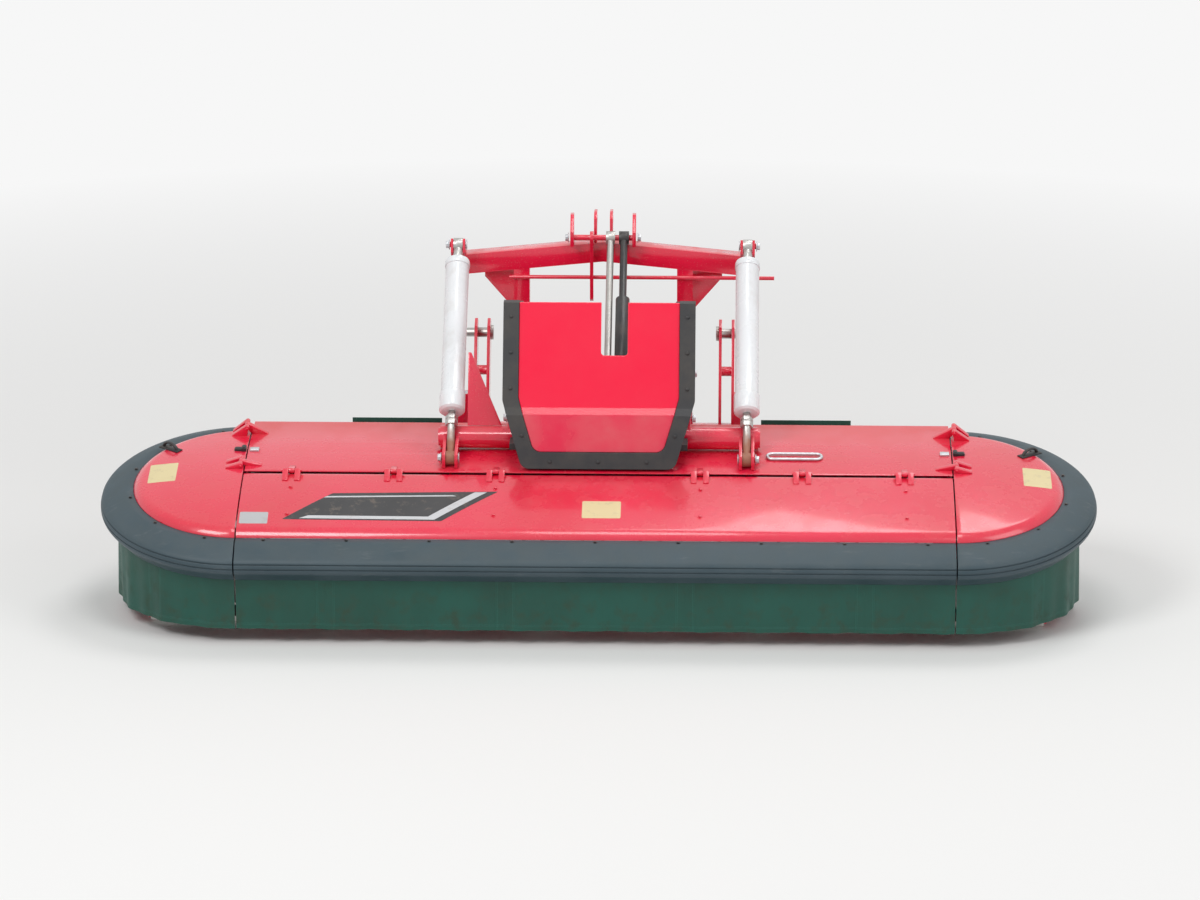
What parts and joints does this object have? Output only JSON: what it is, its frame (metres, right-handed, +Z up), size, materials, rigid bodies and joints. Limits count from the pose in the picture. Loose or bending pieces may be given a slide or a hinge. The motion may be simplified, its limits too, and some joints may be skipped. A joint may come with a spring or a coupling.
{
  "type": "front-mounted disc mower conditioner",
  "caption": "Front-mounted disc mower conditioner with hinged hood, end guards, cutting discs, tined rotor, sprung headstock and parking legs.",
  "frame": {"origin": "on the ground below the middle of the overall box", "axes": "+X across the machine, -Y towards its front bumper, +Z up"},
  "size_m": [3.91, 1.72, 1.39],
  "materials": {
    "red_paint": "gloss",
    "bare_steel": "satin",
    "galvanised": "satin",
    "pale_paint": "gloss",
    "black_plastic": "matte",
    "black_paint": "satin",
    "bumper_plastic": "satin",
    "canvas": "matte"
  },
  "bodies": {
    "root": {"main_frame": "red_paint", "side_frame_left": "red_paint", "side_frame_right": "red_paint", "conditioner_hood": "bare_steel", "hood_deck": "red_paint", "cutterbar": "bare_steel", "skid_shoes": "bare_steel", "cross_tube": "red_paint", "gearbox": "red_paint", "pto_guard": "black_plastic", "cross_shaft": "black_plastic", "drive_case": "red_paint", "shield_panel": "red_paint", "shield_frame": "black_plastic", "lower_arms": "red_paint", "arm_guard": "red_paint", "headstock": "red_paint", "top_bracket": "red_paint", "hitch_pins": "bare_steel", "top_link": "bare_steel", "link_cylinder": "black_paint", "spring_tubes": "pale_paint", "spring_rods": "bare_steel", "loop_handle": "galvanised", "rear_canvas": "canvas"},
    "front_guard": {"front_lid": "red_paint", "front_bumper": "bumper_plastic", "front_skirt": "canvas"},
    "left_guard": {"cap_left": "red_paint", "bumper_left": "bumper_plastic", "skirt_left": "canvas"},
    "right_guard": {"cap_right": "red_paint", "bumper_right": "bumper_plastic", "skirt_right": "canvas"},
    "conditioner": {"rotor": "bare_steel", "rotor_tines": "bare_steel"},
    "drive_input": {"pto_input": "bare_steel"},
    "disc_body_1": {"disc_1": "bare_steel"},
    "disc_body_2": {"disc_2": "bare_steel"},
    "disc_body_3": {"disc_3": "bare_steel"},
    "disc_body_4": {"disc_4": "bare_steel"},
    "disc_body_5": {"disc_5": "bare_steel"},
    "disc_body_6": {"disc_6": "bare_steel"},
    "disc_body_7": {"disc_7": "bare_steel"},
    "disc_body_8": {"disc_8": "bare_steel"},
    "stand_left_leg": {"stand_left": "galvanised"},
    "stand_right_leg": {"stand_right": "galvanised"},
    "swath_left": {"swath_board_left": "red_paint"},
    "swath_right": {"swath_board_right": "red_paint"}
  },
  "joints": [
    {"name": "front_guard_hinge", "type": "hinge", "parent": "root", "child": "front_guard", "pos_m": [0, -0.34665, 0.56889], "axis": [-1, 0, 0], "range_deg": [0, 90]},
    {"name": "left_guard_hinge", "type": "hinge", "parent": "root", "child": "left_guard", "pos_m": [-1.405, -0.29774, 0.57929], "axis": [0, 0.9781, 0.2079], "range_deg": [0, 90]},
    {"name": "right_guard_hinge", "type": "hinge", "parent": "root", "child": "right_guard", "pos_m": [1.405, -0.29774, 0.57929], "axis": [0, -0.9781, -0.2079], "range_deg": [0, 90]},
    {"name": "rotor_spin", "type": "hinge", "parent": "root", "child": "conditioner", "pos_m": [0, -0.04009, 0.35], "axis": [1, 0, 0], "continuous": true},
    {"name": "input_spin", "type": "hinge", "parent": "root", "child": "drive_input", "pos_m": [0, 0.29, 0.69], "axis": [0, 1, 0], "continuous": true},
    {"name": "disc_1_spin", "type": "hinge", "parent": "root", "child": "disc_body_1", "pos_m": [-1.47, -0.43, 0.1], "axis": [0, 0, 1], "continuous": true},
    {"name": "disc_2_spin", "type": "hinge", "parent": "root", "child": "disc_body_2", "pos_m": [-1.05, -0.43, 0.1], "axis": [0, 0, 1], "continuous": true},
    {"name": "disc_3_spin", "type": "hinge", "parent": "root", "child": "disc_body_3", "pos_m": [-0.63, -0.43, 0.1], "axis": [0, 0, 1], "continuous": true},
    {"name": "disc_4_spin", "type": "hinge", "parent": "root", "child": "disc_body_4", "pos_m": [-0.21, -0.43, 0.1], "axis": [0, 0, 1], "continuous": true},
    {"name": "disc_5_spin", "type": "hinge", "parent": "root", "child": "disc_body_5", "pos_m": [0.21, -0.43, 0.1], "axis": [0, 0, 1], "continuous": true},
    {"name": "disc_6_spin", "type": "hinge", "parent": "root", "child": "disc_body_6", "pos_m": [0.63, -0.43, 0.1], "axis": [0, 0, 1], "continuous": true},
    {"name": "disc_7_spin", "type": "hinge", "parent": "root", "child": "disc_body_7", "pos_m": [1.05, -0.43, 0.1], "axis": [0, 0, 1], "continuous": true},
    {"name": "disc_8_spin", "type": "hinge", "parent": "root", "child": "disc_body_8", "pos_m": [1.47, -0.43, 0.1], "axis": [0, 0, 1], "continuous": true},
    {"name": "stand_left_slide", "type": "slide", "parent": "root", "child": "stand_left_leg", "axis": [0, 0, 1], "range_m": [0, 0.3]},
    {"name": "stand_right_slide", "type": "slide", "parent": "root", "child": "stand_right_leg", "axis": [0, 0, 1], "range_m": [0, 0.3]},
    {"name": "swath_left_turn", "type": "hinge", "parent": "root", "child": "swath_left", "pos_m": [-1.15, 0.258, 0.3], "axis": [0, 0, 1], "range_deg": [-25, 20]},
    {"name": "swath_right_turn", "type": "hinge", "parent": "root", "child": "swath_right", "pos_m": [1.15, 0.258, 0.3], "axis": [0, 0, 1], "range_deg": [-20, 25]}
  ],
  "couplings": [
    {"joint": "input_spin", "follows": "rotor_spin", "ratio": 1.1111},
    {"joint": "disc_1_spin", "follows": "rotor_spin", "ratio": 3.3333},
    {"joint": "disc_2_spin", "follows": "rotor_spin", "ratio": -3.3333},
    {"joint": "disc_3_spin", "follows": "rotor_spin", "ratio": 3.3333},
    {"joint": "disc_4_spin", "follows": "rotor_spin", "ratio": -3.3333},
    {"joint": "disc_5_spin", "follows": "rotor_spin", "ratio": 3.3333},
    {"joint": "disc_6_spin", "follows": "rotor_spin", "ratio": -3.3333},
    {"joint": "disc_7_spin", "follows": "rotor_spin", "ratio": 3.3333},
    {"joint": "disc_8_spin", "follows": "rotor_spin", "ratio": -3.3333}
  ]
}
